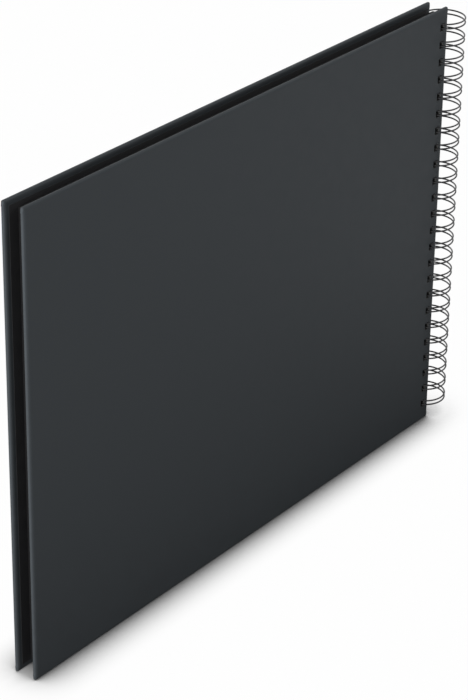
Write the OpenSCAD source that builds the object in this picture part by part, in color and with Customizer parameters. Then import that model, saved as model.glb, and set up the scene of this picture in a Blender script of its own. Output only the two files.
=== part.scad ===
// Spiral photo album: two paper-wrapped board covers and a block of black card leaves,
// all threaded on one double-loop binding wire along the spine.
// It stands on the lower edges of its covers. X runs along the width with the spine at +X,
// Y through the thickness with the front cover towards -Y, Z up.
// The origin is under the middle of the album, on the surface that it stands on.

/* [Covers] */
// Width of a cover, fore-edge to spine edge
cover_width = 430; // [300:1:500]
// Height of a cover
cover_height = 318; // [220:1:360]
// Thickness of the greyboard core
board_thickness = 2.4; // [1.5:0.1:4]
// Thickness of the covering paper
wrap_thickness = 0.3; // [0.2:0.05:0.5]
// Thickness of the lining sheet inside a cover
lining_thickness = 0.2; // [0.1:0.05:0.4]
// Width of the covering paper that is turned in over the board's edges
turn_in = 18; // [12:1:30]
// Distance of the lining's edges from the rounds of the cover's edges
lining_inset = 1.6; // [0.5:0.1:6]
// Round of the wrapped edges through the thickness of a cover
edge_round = 1.1; // [0.5:0.1:1.4]
// How far the round of the wrapped edges reaches onto the faces of a cover
edge_reach = 2.4; // [0.5:0.1:2.8]

/* [Leaves] */
// Number of card leaves
leaf_count = 20; // [10:1:24]
// Thickness of one leaf
leaf_thickness = 0.36; // [0.2:0.02:0.42]
// Air between two leaves
leaf_gap = 0.12; // [0.08:0.02:0.2]
// Distance of the leaves from the covers' top and bottom
leaf_inset = 6; // [2:0.5:7]
// Distance of the leaves from the covers' fore-edge
leaf_fore_inset = 10; // [2:0.5:14]

/* [Binding wire] */
// Outer diameter of the loops
loop_diameter = 31.8; // [28:0.1:36]
// Diameter of the wire
wire_diameter = 1.1; // [0.8:0.05:1.4]
// Distance from one double loop to the next
loop_pitch = 12.7; // [11:0.1:15]
// Distance between the two wires of a double loop
pair_spacing = 3.1; // [2.6:0.1:3.6]
// Radius of the bends between a loop and its links
bend_radius = 1.2; // [0.9:0.1:1.6]
// Clear distance between the tip of a loop and the links
seam_gap = 0.9; // [0.6:0.1:1.5]
// Straight wire left beyond the first and the last loop
end_stub = 2.5; // [1:0.5:4]

/* [Punching] */
// Clearance of the wire in a hole, towards the spine and the fore-edge
hole_clearance = 0.45; // [0.4:0.05:0.8]
// Clearance of the wire in a hole, up and down
hole_side_clearance = 0.6; // [0.5:0.05:0.9]
// Card left between the holes and the spine edge
hole_web = 4; // [3:0.1:5.5]
// Least distance from the first hole's centre to the end of a leaf
end_margin = 6.5; // [6:0.5:12]
// Room for the wire's links between the last leaf and the back cover
link_room = 1.7; // [1.6:0.1:2.4]

/* [Hidden] */
// Facets of round forms
$fn = 32;
// Flats in the round of a wrapped edge
round_flats = 6;
// Steps of the points on which the wire's gap is measured
leg_steps = 60;
bend_steps = 8;
// Points of the wire this close along it are neighbours
neighbours = 9;
// How far a cut runs past the faces that it goes through
cut_over = 1;
// Least round of the board's edges under the covering paper
least_round = 0.05;
// Least depth of the flat strip that a cover stands on
least_foot = 0.5;

// Thin step where a bend seats in the end of a leg or a link
bend_step = 0.03;
seat_depth = 0.18;
bend_diameter = wire_diameter - 2 * bend_step;

// Stack, from the front cover's outer face to the back cover's
wrapped_t = board_thickness + 2 * wrap_thickness;
cover_t = wrapped_t + lining_thickness;
leaf_step = leaf_thickness + leaf_gap;
inner_gap = leaf_count * leaf_step + link_room;
stack_t = 2 * cover_t + inner_gap;
front_y = -stack_t / 2;
outer_round = min(edge_round, (wrapped_t - least_foot) / 2);
inner_round = max(outer_round - wrap_thickness, least_round);
inner_reach = max(edge_reach - wrap_thickness, least_round);
lining_edge = edge_reach + lining_inset;

// Loop, seen along its axis. The wire crosses the outer faces furthest towards the axis
loop_r = (loop_diameter - wire_diameter) / 2;
crossing = sqrt(loop_r * loop_r - front_y * front_y);
crossing_half = wire_diameter / 2 * loop_r / crossing;
hole_far = loop_r + wire_diameter / 2 + hole_clearance;
hole_near = crossing - crossing_half - hole_clearance;
hole_w = hole_far - hole_near;
hole_h = pair_spacing + wire_diameter + 2 * hole_side_clearance;
spine_gap = hole_near - hole_web;

// Places along X
overall_w = cover_width + spine_gap + loop_diameter / 2;
fore_x = -overall_w / 2;
spine_x = fore_x + cover_width;
axis_x = spine_x + spine_gap;

// Places along Z
leaf_height = cover_height - 2 * leaf_inset;
loop_count = floor((leaf_height - 2 * end_margin) / loop_pitch) + 1;
first_z = (cover_height - (loop_count - 1) * loop_pitch) / 2;

// Seam of the wire: the links lie between the last leaf and the back cover,
// and the tips of the loops end inside the back cover's holes
link_y = stack_t / 2 - cover_t - link_room / 2;
link_length = loop_pitch - pair_spacing - 2 * bend_radius;
bend_turn = atan2(bend_radius, loop_r);
tip_turn = atan2(pair_spacing / 2, loop_r);
seam_turn = (seam_gap + wire_diameter) / loop_r * 180 / PI;
root_a = 180 - asin(link_y / norm([loop_r, bend_radius])) + bend_turn;
tip_a = 360 + root_a - bend_turn - seam_turn - tip_turn;

function leaf_name(i) = str("leaf_", i < 10 ? "0" : "", i);

COVER_NODES = [
    "front_board", "front_wrap", "front_lining",
    "back_board", "back_wrap", "back_lining"
];

// Points of a w by t rectangle from the origin, its corners rounded by rw along w and rt along t
function round_rect(w, t, rw, rt) = [
    for (q = [0:3])
    for (s = [0:round_flats])
    let (a = 90 * (q + s / round_flats))
    [
        (q == 0 || q == 3 ? w - rw : rw) + rw * cos(a),
        (q < 2 ? t - rt : rt) + rt * sin(a)
    ]
];

// A plate with rounded edges and square corners, from the origin: w along X, t along Y, h along Z.
// The round takes up reach of the faces and depth of the thickness
module rounded_plate(w, t, h, reach, depth) {
    intersection() {
        linear_extrude(h) polygon(round_rect(w, t, reach, depth));
        rotate([90, 0, 90]) linear_extrude(w) polygon(round_rect(t, h, depth, reach));
    }
}

// The row of punched holes, through y = from to y = to
module hole_row(from, to) {
    for (i = [0:loop_count - 1])
        translate([axis_x - hole_far, from - cut_over, first_z + i * loop_pitch - hole_h / 2])
            cube([hole_w, to - from + 2 * cut_over, hole_h]);
}

// The pieces of a cover are drawn in the front cover's place, and the back cover mirrors it
module board_form() {
    translate([fore_x + wrap_thickness, front_y + wrap_thickness, wrap_thickness])
        rounded_plate(
            cover_width - 2 * wrap_thickness, board_thickness,
            cover_height - 2 * wrap_thickness, inner_reach, inner_round
        );
}

// What is left open between the turned-in edges, grown by over at its inner face
module turn_in_window(over) {
    translate([fore_x + turn_in, front_y + wrap_thickness + board_thickness, turn_in])
        cube([cover_width - 2 * turn_in, wrap_thickness + over, cover_height - 2 * turn_in]);
}

module board() {
    difference() {
        board_form();
        hole_row(front_y, front_y + cover_t);
    }
}

module wrap() {
    difference() {
        translate([fore_x, front_y, 0])
            rounded_plate(cover_width, wrapped_t, cover_height, edge_reach, outer_round);
        board_form();
        turn_in_window(cut_over);
        hole_row(front_y, front_y + cover_t);
    }
}

// The lining covers the turned-in edges and fills the window between them
module lining() {
    difference() {
        union() {
            translate([fore_x + lining_edge, front_y + wrapped_t, lining_edge])
                cube([
                    cover_width - 2 * lining_edge, lining_thickness,
                    cover_height - 2 * lining_edge
                ]);
            turn_in_window(lining_thickness);
        }
        hole_row(front_y, front_y + cover_t);
    }
}

module at_back() {
    mirror([0, 1, 0]) children();
}

module front_board() { color([0.33, 0.33, 0.32]) board(); }
module front_wrap() { color([0.16, 0.18, 0.2]) wrap(); }
module front_lining() { color([0.07, 0.07, 0.075]) lining(); }
module back_board() { color([0.33, 0.33, 0.32]) at_back() board(); }
module back_wrap() { color([0.16, 0.18, 0.2]) at_back() wrap(); }
module back_lining() { color([0.07, 0.07, 0.075]) at_back() lining(); }

// One card leaf, counted from the front
module leaf(i) {
    leaf_y = front_y + cover_t + leaf_gap + (i - 1) * leaf_step;
    color([0.05, 0.05, 0.055])
        difference() {
            translate([fore_x + leaf_fore_inset, leaf_y, leaf_inset])
                cube([cover_width - leaf_fore_inset, leaf_thickness, leaf_height]);
            hole_row(leaf_y, leaf_y + leaf_thickness);
        }
}

// One wire of a double loop, from its root round to its tip
module loop_leg(z) {
    translate([axis_x, 0, z])
        rotate([0, 0, root_a])
            rotate_extrude(angle = tip_a - root_a)
                translate([loop_r, 0])
                    circle(d = wire_diameter);
}

// Flat against the loops' cylinder at angle a: X runs down and Y on along the loop
module on_loop(a, z) {
    translate([axis_x, 0, z])
        rotate([0, 0, a])
            translate([loop_r, 0, 0])
                rotate([0, 90, 0])
                    children();
}

// A bend whose ends seat in the straight or round stretches that it joins
module bend(from, sweep, radius) {
    over = seat_depth / radius * 180 / PI;
    rotate([0, 0, from - over])
        rotate_extrude(angle = sweep + 2 * over)
            translate([radius, 0])
                circle(d = bend_diameter);
}

module double_loop(z) {
    root_z = pair_spacing / 2 + bend_radius;
    loop_leg(z - pair_spacing / 2);
    loop_leg(z + pair_spacing / 2);
    on_loop(tip_a, z) bend(0, 180, pair_spacing / 2);
    on_loop(root_a, z + root_z) bend(-90, 90, bend_radius);
    on_loop(root_a, z - root_z) bend(180, 90, bend_radius);
}

module link(z, length) {
    on_loop(root_a, z)
        translate([0, -bend_radius, 0])
            rotate([0, -90, 0])
                cylinder(d = wire_diameter, h = length);
}

module twin_loop_wire() {
    root_z = pair_spacing / 2 + bend_radius;
    last_z = first_z + (loop_count - 1) * loop_pitch;
    color([0.2, 0.2, 0.21]) {
        for (i = [0:loop_count - 1])
            double_loop(first_z + i * loop_pitch);
        for (i = [0:loop_count - 2])
            link(first_z + i * loop_pitch + root_z, link_length);
        link(first_z - root_z - end_stub, end_stub);
        link(last_z + root_z, end_stub);
    }
}

// Points along the middle of the wire through one double loop at height z, for measuring its gaps
function on_loop_point(a, along, z) =
    [loop_r * cos(a) - along * sin(a), loop_r * sin(a) + along * cos(a), z];
function leg_points(z) = [
    for (s = [0:leg_steps])
    on_loop_point(root_a + (tip_a - root_a) * s / leg_steps, 0, z)
];
function tip_points(z) = [
    for (s = [1:bend_steps - 1])
    let (b = 180 * s / bend_steps)
    on_loop_point(tip_a, pair_spacing / 2 * sin(b), z - pair_spacing / 2 * cos(b))
];
function root_points(z, side) = [
    for (s = [1:bend_steps])
    let (b = 90 * s / bend_steps)
    on_loop_point(
        root_a, -bend_radius * sin(b),
        z + side * (pair_spacing / 2 + bend_radius * (1 - cos(b)))
    )
];
function reversed(list) = [for (i = [len(list) - 1:-1:0]) list[i]];
function loop_points(z) = concat(
    reversed(root_points(z, -1)), leg_points(z - pair_spacing / 2), tip_points(z),
    reversed(leg_points(z + pair_spacing / 2)), root_points(z, 1)
);
wire_points = concat(loop_points(0), loop_points(loop_pitch));
least_gap = min([
    for (i = [0:len(wire_points) - 1 - neighbours])
    for (j = [i + neighbours:len(wire_points) - 1])
    norm(wire_points[i] - wire_points[j])
]) - wire_diameter;
echo(least_gap_of_wire_to_itself = least_gap);

front_board();
front_wrap();
front_lining();
back_board();
back_wrap();
back_lining();
for (i = [1:leaf_count]) leaf(i);
twin_loop_wire();
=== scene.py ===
"""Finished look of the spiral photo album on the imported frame. Metres, in the part's own frame."""
import math
from collections import namedtuple

import bpy
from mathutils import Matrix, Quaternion, Vector


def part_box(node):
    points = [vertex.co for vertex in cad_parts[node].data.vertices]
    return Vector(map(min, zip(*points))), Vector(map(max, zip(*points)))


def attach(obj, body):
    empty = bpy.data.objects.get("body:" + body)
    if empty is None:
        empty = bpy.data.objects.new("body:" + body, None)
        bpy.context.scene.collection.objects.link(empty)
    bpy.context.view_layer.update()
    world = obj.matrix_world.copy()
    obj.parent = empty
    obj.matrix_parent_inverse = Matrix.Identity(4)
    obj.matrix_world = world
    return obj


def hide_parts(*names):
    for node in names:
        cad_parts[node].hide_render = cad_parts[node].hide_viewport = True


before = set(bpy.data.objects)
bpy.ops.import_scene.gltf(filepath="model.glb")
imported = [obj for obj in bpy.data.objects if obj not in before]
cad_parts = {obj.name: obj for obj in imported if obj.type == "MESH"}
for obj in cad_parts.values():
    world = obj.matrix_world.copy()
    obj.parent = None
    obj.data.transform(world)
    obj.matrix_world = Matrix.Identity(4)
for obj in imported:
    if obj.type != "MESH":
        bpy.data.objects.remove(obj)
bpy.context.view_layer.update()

# Binding wire, as on the drawing of the part
WIRE_DIAMETER = 0.0011
LOOP_RADIUS = 0.01535
LOOP_PITCH = 0.0127
LOOP_COUNT = 24
PAIR_SPACING = 0.0031
BEND_RADIUS = 0.0012
SEAM_GAP = 0.0009
END_STUB = 0.0025
LINK_Y = 0.0048
AXIS_X = 0.2107594
FIRST_LOOP_Z = 0.01295
WIRE_SIDES = 12
WIRE_SMOOTH = math.radians(60)
LEG_STEPS = 80
TIP_STEPS = 14
BEND_STEPS = 6

# Punched holes: their place and size, and the rim of paper round them that is pressed in
HOLE_FAR = 0.01635
HOLE_WIDTH = 0.0049294
HOLE_HEIGHT = 0.0054
HOLE_RIM = 0.0004
HOLE_SINK = 0.00012

# Covering paper: a round edge takes up EDGE_DEPTH of a cover's thickness and EDGE_REACH of its faces
PAPER = 0.00028
PAPER_SMOOTH = math.radians(40)
EDGE_DEPTH = 0.0011
EDGE_REACH = 0.0024
EDGE_STEPS = 8
CORNER_ROUND = 0.0011
CORNER_STEPS = 5
TURN_IN = 0.018
FACE_INSET = 0.003
FOLD_REACH = 0.0036
FOLD_SLOPE = 0.0004
FOLD_HEIGHT = 0.00022
# Widest step between columns of the sheet, and the digits at which places count as one
COLUMN = 0.04
PLACE_DIGITS = 7

# Tones, then the mottle, grain and fibres per metre, the height of the relief, the roughness,
# and the gloss and its tint
Paper = namedtuple("Paper", "dark light mottle grain fibre relief rough gloss tint")
PLAIN_GLOSS = (1.0, 1.0, 1.0)
COOL_GLOSS = (0.87, 1.0, 1.13)
PAPERS = {
    "charcoal_paper": Paper(
        (0.0364, 0.0410, 0.0446), (0.0436, 0.0490, 0.0534),
        120.0, 2600.0, 1500.0, 0.00003, 0.50, 0.16, COOL_GLOSS),
    "greyboard": Paper(
        (0.075, 0.075, 0.072), (0.11, 0.11, 0.106),
        500.0, 2400.0, 1200.0, 0.0001, 0.85, 0.2, PLAIN_GLOSS),
    "black_lining": Paper(
        (0.009, 0.009, 0.010), (0.015, 0.015, 0.016),
        150.0, 2200.0, 1300.0, 0.00004, 0.7, 0.3, PLAIN_GLOSS),
    "black_card": Paper(
        (0.005, 0.005, 0.0055), (0.008, 0.008, 0.0085),
        90.0, 1800.0, 1000.0, 0.00006, 0.8, 0.12, PLAIN_GLOSS),
}
# Share of the mottle in the tone, and of the fibres in the relief
MOTTLE_SHARE = 0.55
FIBRE_SHARE = 0.6
FIBRE_LENGTH = (1.0, 1.0, 3.5)
MOTTLE_DETAIL = 5
GRAIN_DETAIL = 4
GRAIN_ROUGHNESS = 0.6
FIBRE_DETAIL = 3
PAPER_RELIEF = 0.5
# How far the roughness of a paper strays below and above its own
ROUGH_BELOW = 0.05
ROUGH_ABOVE = 0.06

WIRE_TONES = (0.018, 0.018, 0.020), (0.026, 0.026, 0.028)
WIRE_ROUGH = 0.24, 0.36
WIRE_GLOSS = 0.35
WIRE_WEAR = 700.0
WIRE_WEAR_DETAIL = 4
WIRE_PITS = 4000.0
WIRE_PITS_DETAIL = 3
WIRE_PITS_DEPTH = 0.00002
WIRE_RELIEF = 0.3

# Camera, from a fit to the corners of the covers in the photograph
CAMERA_AT = Vector((-1.1496, -0.8639, 0.8870))
CAMERA_AIM = Vector((0.0003, 0.0165, 0.1800))
CAMERA_ROLL = math.radians(0.81)
CAMERA_LENS = 127.12
CAMERA_SHIFT_Y = -0.1

# Name, place, aim, size across, size down, watts
LAMPS = (
    ("left_softbox", (-1.8, -0.2, 0.45), (0.0, 0.0, 0.16), 1.0, 0.8, 46.0),
    ("right_softbox", (1.75, -1.3, 1.6), (0.0, 0.0, 0.16), 1.4, 1.1, 16.0),
    ("top_softbox", (0.0, 0.1, 1.6), (0.0, 0.1, 0.0), 1.0, 0.4, 2.0),
    ("back_softbox", (0.3, 1.7, 0.35), (0.0, 0.0, 0.16), 1.0, 0.8, 8.0),
)
WORLD_LIGHT = 0.14

# Floor: its dark tone, shown near the album as painted shade over its real shadow, and how white it clears
# to away from it
FLOOR_DROP = 0.0001
FLOOR_SIZE = 8.0
FLOOR_TONE = 0.22
FLOOR_CLEAR = 0.99
# As seen: how far the painted shade reaches, the share of the sky that a wall hides from its foot, and the
# ease
FLOOR_FAR = 0.030
FLOOR_HIDDEN = 0.5
FLOOR_EASE = 1.5
FLOOR_SAMPLES = 16
# As mirrored in the covers: how far the painted shade reaches, and the ease
FLOOR_FAR_MIRRORED = 0.50
FLOOR_EASE_MIRRORED = 2.0
# How far and how strongly painted light lightens the floor's shade in between the covers at the fore-edge,
# standing in for light from the left
FLOOR_MOUTH = 0.014
FLOOR_MOUTH_PAINTED_LIGHT = 0.3


def add_object(name, verts, faces, smooth_angle):
    """A mesh object in the scene, shaded smooth up to an angle between faces."""
    mesh = bpy.data.meshes.new(name)
    mesh.from_pydata([tuple(v) for v in verts], [], faces)
    mesh.validate()
    mesh.polygons.foreach_set("use_smooth", [True] * len(mesh.polygons))
    mesh.set_sharp_from_angle(angle=smooth_angle)
    obj = bpy.data.objects.new(name, mesh)
    bpy.context.scene.collection.objects.link(obj)
    return obj


class Nodes:
    """Short hand for building a node tree."""

    def __init__(self, tree):
        self.tree = tree

    def add(self, kind, **settings):
        node = self.tree.nodes.new(kind)
        for key, value in settings.items():
            setattr(node, key, value)
        return node

    def link(self, source, target):
        self.tree.links.new(source, target)

    def noise(self, coords, scale, detail, roughness=0.55):
        node = self.add("ShaderNodeTexNoise")
        node.inputs["Scale"].default_value = scale
        node.inputs["Detail"].default_value = detail
        node.inputs["Roughness"].default_value = roughness
        self.link(coords, node.inputs["Vector"])
        return node.outputs["Fac"]

    def spread(self, value, low, high, start=0.3, end=0.7):
        node = self.add("ShaderNodeMapRange")
        for key, number in (("From Min", start), ("From Max", end), ("To Min", low), ("To Max", high)):
            node.inputs[key].default_value = number
        self.link(value, node.inputs["Value"])
        return node.outputs["Result"]

    def tones(self, value, dark, light, start=0.3, end=0.7):
        node = self.add("ShaderNodeValToRGB")
        for element, place, colour in zip(node.color_ramp.elements, (start, end), (dark, light)):
            element.position = place
            element.color = (*colour, 1)
        self.link(value, node.inputs["Fac"])
        return node.outputs["Color"]

    def stretched(self, coords, factors):
        node = self.add("ShaderNodeMapping")
        node.inputs["Scale"].default_value = factors
        self.link(coords, node.inputs["Vector"])
        return node.outputs["Vector"]

    def math(self, operation, first, second):
        node = self.add("ShaderNodeMath", operation=operation)
        for value, socket in zip((first, second), node.inputs):
            if isinstance(value, (int, float)):
                socket.default_value = value
            else:
                self.link(value, socket)
        return node.outputs["Value"]

    def vector_math(self, operation, first, second=None, output="Vector"):
        node = self.add("ShaderNodeVectorMath", operation=operation)
        self.link(first, node.inputs[0])
        if second is not None:
            node.inputs[1].default_value = second
        return node.outputs[output]

    def relief(self, height, strength, distance, shader):
        node = self.add("ShaderNodeBump")
        node.inputs["Strength"].default_value = strength
        node.inputs["Distance"].default_value = distance
        self.link(height, node.inputs["Height"])
        self.link(node.outputs["Normal"], shader.inputs["Normal"])


def surface(name):
    """A new material: its node builder, its shader and object coordinates."""
    material = bpy.data.materials.new(name)
    material.use_nodes = True
    nodes = Nodes(material.node_tree)
    shader = material.node_tree.nodes["Principled BSDF"]
    coords = nodes.add("ShaderNodeTexCoord").outputs["Object"]
    return material, nodes, shader, coords


def paper_material(name):
    """Paper, card or board: mottled tone, a fine grain and short fibres in relief."""
    paper = PAPERS[name]
    material, nodes, shader, coords = surface(name)
    cloud = nodes.noise(coords, paper.mottle, MOTTLE_DETAIL)
    fine = nodes.noise(coords, paper.grain, GRAIN_DETAIL, GRAIN_ROUGHNESS)
    strands = nodes.noise(nodes.stretched(coords, FIBRE_LENGTH), paper.fibre, FIBRE_DETAIL)
    tone = nodes.math(
        "ADD", nodes.math("MULTIPLY", cloud, MOTTLE_SHARE), nodes.math("MULTIPLY", fine, 1 - MOTTLE_SHARE))
    nodes.link(nodes.tones(tone, paper.dark, paper.light), shader.inputs["Base Color"])
    rough = nodes.spread(cloud, paper.rough - ROUGH_BELOW, paper.rough + ROUGH_ABOVE)
    nodes.link(rough, shader.inputs["Roughness"])
    shader.inputs["Specular IOR Level"].default_value = paper.gloss
    shader.inputs["Specular Tint"].default_value = (*paper.tint, 1)
    height = nodes.math("ADD", fine, nodes.math("MULTIPLY", strands, FIBRE_SHARE))
    nodes.relief(height, PAPER_RELIEF, paper.relief, shader)
    return material


def wire_material():
    """Dark coated steel wire with faint wear in its gloss."""
    material, nodes, shader, coords = surface("coated_wire")
    wear = nodes.noise(coords, WIRE_WEAR, WIRE_WEAR_DETAIL)
    pits = nodes.noise(coords, WIRE_PITS, WIRE_PITS_DETAIL)
    nodes.link(nodes.tones(wear, *WIRE_TONES), shader.inputs["Base Color"])
    nodes.link(nodes.spread(wear, *WIRE_ROUGH), shader.inputs["Roughness"])
    shader.inputs["Specular IOR Level"].default_value = WIRE_GLOSS
    nodes.relief(pits, WIRE_RELIEF, WIRE_PITS_DEPTH, shader)
    return material


def loop_point(angle, along, z):
    """A point on the loops' cylinder, moved along the tangent at that angle."""
    return Vector((
        AXIS_X + LOOP_RADIUS * math.cos(angle) - along * math.sin(angle),
        LOOP_RADIUS * math.sin(angle) + along * math.cos(angle),
        z,
    ))


def wire_path():
    """The middle line of the whole wire, from its lower end to its upper end."""
    half = PAIR_SPACING / 2
    turn = math.atan2(BEND_RADIUS, LOOP_RADIUS)
    root = math.pi - math.asin(LINK_Y / math.hypot(LOOP_RADIUS, BEND_RADIUS)) + turn
    seam = (SEAM_GAP + WIRE_DIAMETER) / LOOP_RADIUS
    tip = 2 * math.pi + root - turn - seam - math.atan2(half, LOOP_RADIUS)
    quarter = [math.pi / 2 * s / BEND_STEPS for s in range(BEND_STEPS + 1)]
    leg = [root + (tip - root) * s / LEG_STEPS for s in range(LEG_STEPS + 1)]

    def root_bend(z, side):
        return [
            loop_point(
                root, -BEND_RADIUS * math.sin(b), z + side * (half + BEND_RADIUS * (1 - math.cos(b))))
            for b in quarter
        ]

    def tip_bend(z):
        turns = [math.pi * s / TIP_STEPS for s in range(1, TIP_STEPS)]
        return [loop_point(tip, half * math.sin(b), z - half * math.cos(b)) for b in turns]

    path = []
    for i in range(LOOP_COUNT):
        z = FIRST_LOOP_Z + i * LOOP_PITCH
        path += root_bend(z, -1)[::-1]
        path += [loop_point(a, 0, z - half) for a in leg[1:]]
        path += tip_bend(z)
        path += [loop_point(a, 0, z + half) for a in leg[::-1]]
        path += root_bend(z, 1)[1:]
    path.insert(0, path[0] - Vector((0, 0, END_STUB)))
    path.append(path[-1] + Vector((0, 0, END_STUB)))
    return path


def tube(name, path, radius, sides):
    """A closed round tube along a path, with frames carried along so that it doesn't twist."""
    verts, faces = [], []
    tangent = (path[1] - path[0]).normalized()
    across = tangent.orthogonal().normalized()
    for i, point in enumerate(path):
        ahead = path[min(i + 1, len(path) - 1)] - path[max(i - 1, 0)]
        turn = tangent.rotation_difference(ahead.normalized())
        tangent = ahead.normalized()
        across = (turn @ across).normalized()
        up = tangent.cross(across)
        for s in range(sides):
            a = 2 * math.pi * s / sides
            verts.append(point + radius * (math.cos(a) * across + math.sin(a) * up))
    for i in range(len(path) - 1):
        for s in range(sides):
            t = (s + 1) % sides
            faces.append((i * sides + s, i * sides + t, (i + 1) * sides + t, (i + 1) * sides + s))
    faces.append(tuple(range(sides - 1, -1, -1)))
    faces.append(tuple(range(len(verts) - sides, len(verts))))
    return add_object(name, verts, faces, WIRE_SMOOTH)


class Sheet:
    """Vertices shared by place, and faces from them."""

    def __init__(self, place, flipped):
        self.place = place
        self.flipped = flipped
        self.index = {}
        self.verts = []
        self.faces = []

    def vert(self, x, z, depth):
        key = tuple(round(value, PLACE_DIGITS) for value in (x, z, depth))
        if key not in self.index:
            self.index[key] = len(self.verts)
            self.verts.append(self.place(x, z, depth))
        return self.index[key]

    def face(self, corners):
        ring = []
        for corner in corners:
            if corner not in ring:
                ring.append(corner)
        if len(ring) > 2:
            self.faces.append(ring[::-1] if self.flipped else ring)


def hole_spans():
    """Lower and upper edge of each punched hole."""
    middles = [FIRST_LOOP_Z + i * LOOP_PITCH for i in range(LOOP_COUNT)]
    return [(z - HOLE_HEIGHT / 2, z + HOLE_HEIGHT / 2) for z in middles]


def hole_sides():
    """Edges of the punched holes towards the fore-edge and towards the spine."""
    left = AXIS_X - HOLE_FAR
    return left, left + HOLE_WIDTH


def height_breaks(height):
    """Rows of the sheet, from the lower edge up, at the corner folds and round the holes."""
    fold = [FACE_INSET, FOLD_REACH, FOLD_REACH + FOLD_SLOPE]
    rows = fold + [height - z for z in reversed(fold)]
    for low, high in hole_spans():
        rows += [low - 2 * HOLE_RIM, low - HOLE_RIM, low, high, high + HOLE_RIM, high + 2 * HOLE_RIM]
    return sorted(rows)


def width_breaks(left, right):
    """Columns of the sheet, from the fore-edge to the spine, at even steps and round the holes."""
    hole_left, hole_right = hole_sides()
    columns = [left + FACE_INSET, hole_left - 2 * HOLE_RIM, hole_left - HOLE_RIM, hole_left]
    columns += [hole_right, hole_right + HOLE_RIM, right - FACE_INSET]
    steps = int((hole_left - left) / COLUMN)
    columns += [left + (hole_left - left) * s / steps for s in range(1, steps)]
    return sorted(columns)


def edge_profile(thickness):
    """Inset and depth of the paper from the outer face round an edge to the end of the turn-in."""
    quarter = [math.pi / 2 * s / EDGE_STEPS for s in range(EDGE_STEPS + 1)]
    flat = EDGE_REACH + HOLE_RIM
    profile = [(FACE_INSET, 0.0), (flat, 0.0)]
    profile += [(EDGE_REACH * (1 - math.sin(a)), EDGE_DEPTH * (1 - math.cos(a))) for a in quarter]
    profile += [
        (EDGE_REACH * (1 - math.cos(a)), thickness - EDGE_DEPTH * (1 - math.sin(a))) for a in quarter]
    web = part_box("front_wrap")[1].x - hole_sides()[1]
    insets = (flat, web, web + HOLE_WIDTH, TURN_IN - HOLE_RIM, TURN_IN)
    return profile + [(inset, thickness) for inset in insets]


def perimeter(left, right, height):
    """Places round the cover: which side or corner, and how far along it."""
    columns, rows = width_breaks(left, right), height_breaks(height)
    arc = [math.pi / 2 * s / CORNER_STEPS for s in range(CORNER_STEPS + 1)]
    places = [("bottom", x) for x in columns] + [("bottom_right", a) for a in arc]
    places += [("right", z) for z in rows] + [("top_right", a) for a in arc]
    places += [("top", x) for x in reversed(columns)] + [("top_left", a) for a in arc]
    places += [("left", z) for z in reversed(rows)] + [("bottom_left", a) for a in arc]
    return places


def perimeter_point(place, inset, left, right, height):
    """X and Z of a place round the cover at an inset from its edges, mitred at the corners."""
    side, along = place
    reach = max(inset, CORNER_ROUND)
    if side in ("bottom", "top"):
        x = min(max(along, left + reach), right - reach)
        return x, inset if side == "bottom" else height - inset
    if side in ("left", "right"):
        z = min(max(along, reach), height - reach)
        folded = min(along, height - along) < FOLD_REACH + FOLD_SLOPE / 2
        bulge = FOLD_HEIGHT * max(1 - inset / EDGE_REACH, 0.0) if folded else 0.0
        return left + inset - bulge if side == "left" else right - inset + bulge, z
    radius = max(CORNER_ROUND - inset, 0.0)
    start = {"bottom_right": -90, "top_right": 0, "top_left": 90, "bottom_left": 180}[side]
    angle = math.radians(start) + along
    x = right - reach if "right" in side else left + reach
    z = height - reach if "top" in side else reach
    return x + radius * math.cos(angle), z + radius * math.sin(angle)


def in_hole(low, high):
    """Whether a row of cells lies in one of the punched holes."""
    middle = (low + high) / 2
    return any(a < middle < b for a, b in hole_spans())


def cover_paper(name, node, outer_y, inward):
    """The covering paper of one cover, wrapped round its board and turned in, with its thickness."""
    low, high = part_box(node)
    left, right, height, thickness = low.x, high.x, high.z, high.y - low.y
    sheet = Sheet(lambda x, z, depth: Vector((x, outer_y + inward * depth, z)), inward > 0)
    add_edges(sheet, left, right, height, thickness)
    add_face(sheet, left, right, height)
    obj = add_object(name, sheet.verts, sheet.faces, PAPER_SMOOTH)
    return thicken(obj, PAPER)


def add_edges(sheet, left, right, height, thickness):
    """The rounded edges and the turned-in strips, with holes along the spine."""
    profile = edge_profile(thickness)
    places = perimeter(left, right, height)
    rings = []
    for inset, depth in profile:
        points = [perimeter_point(p, inset, left, right, height) for p in places]
        rings.append([sheet.vert(x, z, depth) for x, z in points])
    hole_ring = len(profile) - 4
    for i in range(len(rings) - 1):
        for j, place in enumerate(places):
            k = (j + 1) % len(places)
            spine = place[0] == "right" and places[k][0] == "right"
            if i == hole_ring and spine and in_hole(place[1], places[k][1]):
                continue
            sheet.face((rings[i][j], rings[i][k], rings[i + 1][k], rings[i + 1][j]))


def add_face(sheet, left, right, height):
    """The outer face inside its edges, with the rims of the punched holes pressed in."""
    columns, rows = width_breaks(left, right), height_breaks(height)
    hole_left, hole_right = hole_sides()
    hole_edges = {z for span in hole_spans() for z in span}

    def corner(x, z):
        rim = hole_left <= x <= hole_right and z in hole_edges
        return sheet.vert(x, z, HOLE_SINK if rim else 0.0)

    for x0, x1 in zip(columns, columns[1:]):
        over_holes = hole_left < (x0 + x1) / 2 < hole_right
        for z0, z1 in zip(rows, rows[1:]):
            if over_holes and in_hole(z0, z1):
                continue
            sheet.face((corner(x0, z0), corner(x0, z1), corner(x1, z1), corner(x1, z0)))


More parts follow.
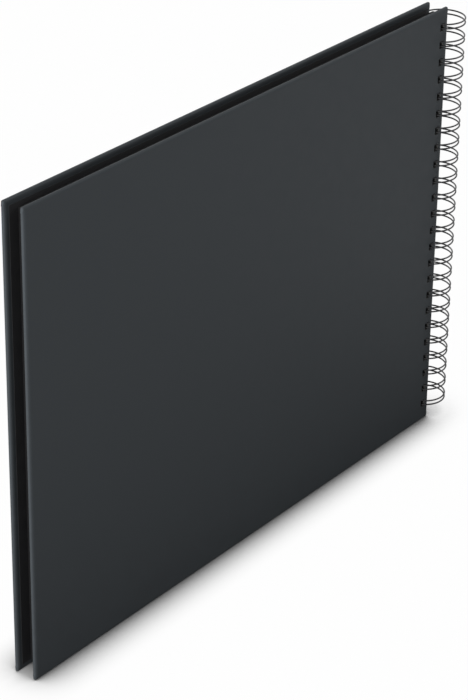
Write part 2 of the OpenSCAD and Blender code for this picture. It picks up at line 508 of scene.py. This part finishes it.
def thicken(obj, thickness):
    """Gives a sheet its thickness on the inner side and keeps the result as its mesh."""
    solid = obj.modifiers.new("thickness", "SOLIDIFY")
    solid.thickness = thickness
    solid.offset = -1.0
    solid.use_even_offset = True
    bpy.context.view_layer.update()
    graph = bpy.context.evaluated_depsgraph_get()
    mesh = bpy.data.meshes.new_from_object(obj.evaluated_get(graph))
    obj.modifiers.clear()
    mesh.set_sharp_from_angle(angle=PAPER_SMOOTH)
    obj.data = mesh
    return obj


def dress(obj, material, body, slot, *nodes):
    """Gives a made piece its material and its body, and hides the nodes that it stands in for; its slot is
    not used.
    """
    obj.data.materials.clear()
    obj.data.materials.append(material)
    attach(obj, body)
    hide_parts(*nodes)


def paint(node, material):
    """Gives a CAD node a material."""
    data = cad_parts[node].data
    data.materials.clear()
    data.materials.append(material)


def build_album():
    """The album's made pieces and the finish of the nodes that stay."""
    charcoal, grey, lining, card = (paper_material(name) for name in PAPERS)
    front = cover_paper("front_cover_paper", "front_wrap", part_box("front_wrap")[0].y, 1.0)
    back = cover_paper("back_cover_paper", "back_wrap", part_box("back_wrap")[1].y, -1.0)
    dress(front, charcoal, "front_cover", "cover_paper", "front_wrap")
    dress(back, charcoal, "back_cover", "cover_paper", "back_wrap")
    wire = tube("binding_wire", wire_path(), WIRE_DIAMETER / 2, WIRE_SIDES)
    dress(wire, wire_material(), "back_cover", "binding_wire", "twin_loop_wire")
    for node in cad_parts:
        if node.startswith("leaf"):
            paint(node, card)
    for side in ("front", "back"):
        paint(side + "_board", grey)
        paint(side + "_lining", lining)


def seen_directly(nodes):
    """1 for camera, glossy and transmission rays, 0 for the rest."""
    path = nodes.add("ShaderNodeLightPath")
    either = nodes.math("MAXIMUM", path.outputs["Is Camera Ray"], path.outputs["Is Glossy Ray"])
    return nodes.math("MAXIMUM", either, path.outputs["Is Transmission Ray"])


def painted_shade_in_reflections(nodes, place, low, high):
    """Painted shade in reflections of the floor: how much of the dark floor shows instead of white, by the
    distance from the closed album.
    """
    middle, half = (low + high) / 2, (high - low) / 2
    offset = nodes.vector_math("ABSOLUTE", nodes.vector_math("SUBTRACT", place, (middle.x, middle.y, 0)))
    outside = nodes.vector_math("SUBTRACT", offset, (half.x, half.y, 1))
    beyond = nodes.vector_math("MAXIMUM", outside, (0, 0, 0))
    distance = nodes.vector_math("LENGTH", beyond, output="Value")
    # Painted shade: reflections of the floor darken towards the closed album
    near = nodes.spread(distance, 1.0, 0.0, 0.0, FLOOR_FAR_MIRRORED)
    return nodes.math("POWER", near, FLOOR_EASE_MIRRORED)


def painted_contact_shade(nodes, place, low, high):
    """Painted contact shade as seen: how much of the dark floor shows instead of white, by how much of the
    sky is hidden close by.
    """
    sky = nodes.add("ShaderNodeAmbientOcclusion", samples=FLOOR_SAMPLES)
    sky.inputs["Distance"].default_value = FLOOR_FAR
    # Painted shade: the dark floor shows where the sky is hidden close by, and white where it is open
    hidden = nodes.spread(sky.outputs["AO"], 1.0, 0.0, 1 - FLOOR_HIDDEN, 1.0)
    at = nodes.add("ShaderNodeSeparateXYZ")
    nodes.link(place, at.inputs["Vector"])
    # Painted light: the floor's shade is lightened between the covers at the fore-edge
    painted_mouth_light = nodes.spread(at.outputs["X"], FLOOR_MOUTH_PAINTED_LIGHT, 0.0, low.x, low.x + FLOOR_MOUTH)
    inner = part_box("back_lining")[0].y
    between = nodes.spread(nodes.math("ABSOLUTE", at.outputs["Y"], 0.0), 1.0, 0.0, inner, high.y)
    shade_share_after_painted_light = nodes.math("SUBTRACT", 1.0, nodes.math("MULTIPLY", painted_mouth_light, between))
    return nodes.math("MULTIPLY", nodes.math("POWER", hidden, FLOOR_EASE), shade_share_after_painted_light)


def floor_material():
    """A floor that keeps its real shadow near the album, deepened there by painted shade of its dark tone,
    and clears to white away from it.
    """
    material = bpy.data.materials.new("pale_floor")
    material.use_nodes = True
    nodes = Nodes(material.node_tree)
    material.node_tree.nodes.clear()
    diffuse = nodes.add("ShaderNodeBsdfDiffuse")
    diffuse.inputs["Color"].default_value = (FLOOR_TONE, FLOOR_TONE, FLOOR_TONE, 1)
    clear = nodes.add("ShaderNodeEmission")
    clear.inputs["Strength"].default_value = 1.0
    place = nodes.add("ShaderNodeNewGeometry").outputs["Position"]
    low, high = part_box("front_wrap")[0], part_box("back_wrap")[1]
    mirrored = painted_shade_in_reflections(nodes, place, low, high)
    seen = painted_contact_shade(nodes, place, low, high)
    camera = nodes.add("ShaderNodeLightPath").outputs["Is Camera Ray"]
    # Painted shade: to the eye the contact shade, in reflections the wider shade, mixes the dark floor in
    # over the white
    gain = nodes.math("MULTIPLY", camera, nodes.math("SUBTRACT", seen, mirrored))
    fade = nodes.spread(nodes.math("ADD", mirrored, gain), FLOOR_CLEAR, 0.0, 0.0, 1.0)
    mix = nodes.add("ShaderNodeMixShader")
    nodes.link(nodes.math("MULTIPLY", fade, seen_directly(nodes)), mix.inputs["Fac"])
    nodes.link(diffuse.outputs["BSDF"], mix.inputs[1])
    nodes.link(clear.outputs["Emission"], mix.inputs[2])
    nodes.link(mix.outputs["Shader"], nodes.add("ShaderNodeOutputMaterial").inputs["Surface"])
    return material


def build_stage():
    """Floor, world, lamps and camera."""
    h = FLOOR_SIZE / 2
    corners = [(-h, -h, -FLOOR_DROP), (h, -h, -FLOOR_DROP), (h, h, -FLOOR_DROP), (-h, h, -FLOOR_DROP)]
    floor = add_object("floor", corners, [(0, 1, 2, 3)], PAPER_SMOOTH)
    floor.data.materials.append(floor_material())
    build_world()
    for lamp in LAMPS:
        add_lamp(*lamp)
    add_camera()


def build_world():
    """Even light from all round, white where it is seen directly."""
    world = bpy.data.worlds.new("studio")
    world.use_nodes = True
    bpy.context.scene.world = world
    nodes = Nodes(world.node_tree)
    background = world.node_tree.nodes["Background"]
    background.inputs["Color"].default_value = (1, 1, 1, 1)
    strength = nodes.math("MAXIMUM", seen_directly(nodes), WORLD_LIGHT)
    nodes.link(strength, background.inputs["Strength"])


def add_lamp(name, place, aim, across, down, watts):
    """A soft rectangular lamp."""
    data = bpy.data.lights.new(name, "AREA")
    data.shape = "RECTANGLE"
    data.size, data.size_y = across, down
    data.energy = watts
    lamp = bpy.data.objects.new(name, data)
    lamp.location = place
    lamp.rotation_mode = "QUATERNION"
    lamp.rotation_quaternion = (Vector(aim) - Vector(place)).to_track_quat("-Z", "Y")
    bpy.context.scene.collection.objects.link(lamp)


def add_camera():
    """The photograph's view."""
    data = bpy.data.cameras.new("camera")
    data.lens = CAMERA_LENS
    data.shift_y = CAMERA_SHIFT_Y
    camera = bpy.data.objects.new("camera", data)
    camera.location = CAMERA_AT
    camera.rotation_mode = "QUATERNION"
    look = (CAMERA_AIM - CAMERA_AT).to_track_quat("-Z", "Y")
    camera.rotation_quaternion = look @ Quaternion((0, 0, 1), CAMERA_ROLL)
    bpy.context.scene.collection.objects.link(camera)
    bpy.context.scene.camera = camera


build_album()
build_stage()
bpy.context.scene.view_settings.view_transform = "Standard"
